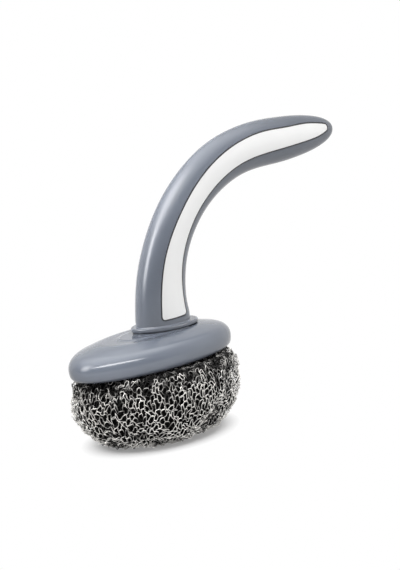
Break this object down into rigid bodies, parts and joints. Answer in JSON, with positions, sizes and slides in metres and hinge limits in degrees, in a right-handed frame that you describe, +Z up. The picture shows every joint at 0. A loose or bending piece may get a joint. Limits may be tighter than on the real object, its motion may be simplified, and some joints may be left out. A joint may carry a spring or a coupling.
{
  "type": "pot scrubber",
  "caption": "Pot scrubber: a curved grey plastic handle with white side inlays on an oval domed head, over a bulging knitted steel-wire pad that pulls off for replacement.",
  "frame": {"origin": "on the floor under the middle of the pad, where the scrubber stands", "axes": "+X the way the handle bends, along the head's long axis; +Z up; Y across the head"},
  "size_m": [0.204, 0.0776, 0.164],
  "materials": {
    "grey_plastic": "glossy blue-grey moulded plastic",
    "white_plastic": "satin white moulded plastic",
    "carrier_plastic": "dark grey moulded plastic",
    "screw_steel": "zinc-plated steel",
    "knitted_steel": "bright knitted stainless-steel wire"
  },
  "bodies": {
    "scourer": {"scourer_pad": "knitted_steel", "pad_carrier": "carrier_plastic", "pad_clamp": "carrier_plastic", "clamp_screws": "screw_steel"},
    "handle_and_head": {"handle_body": "grey_plastic", "left_inlay": "white_plastic", "right_inlay": "white_plastic", "head_shell": "grey_plastic", "handle_screws": "screw_steel"}
  },
  "joints": [
    {"name": "head_lift_off", "type": "slide", "parent": "scourer", "child": "handle_and_head", "axis": [0, 0, 1], "range_m": [0, 0.03]}
  ]
}
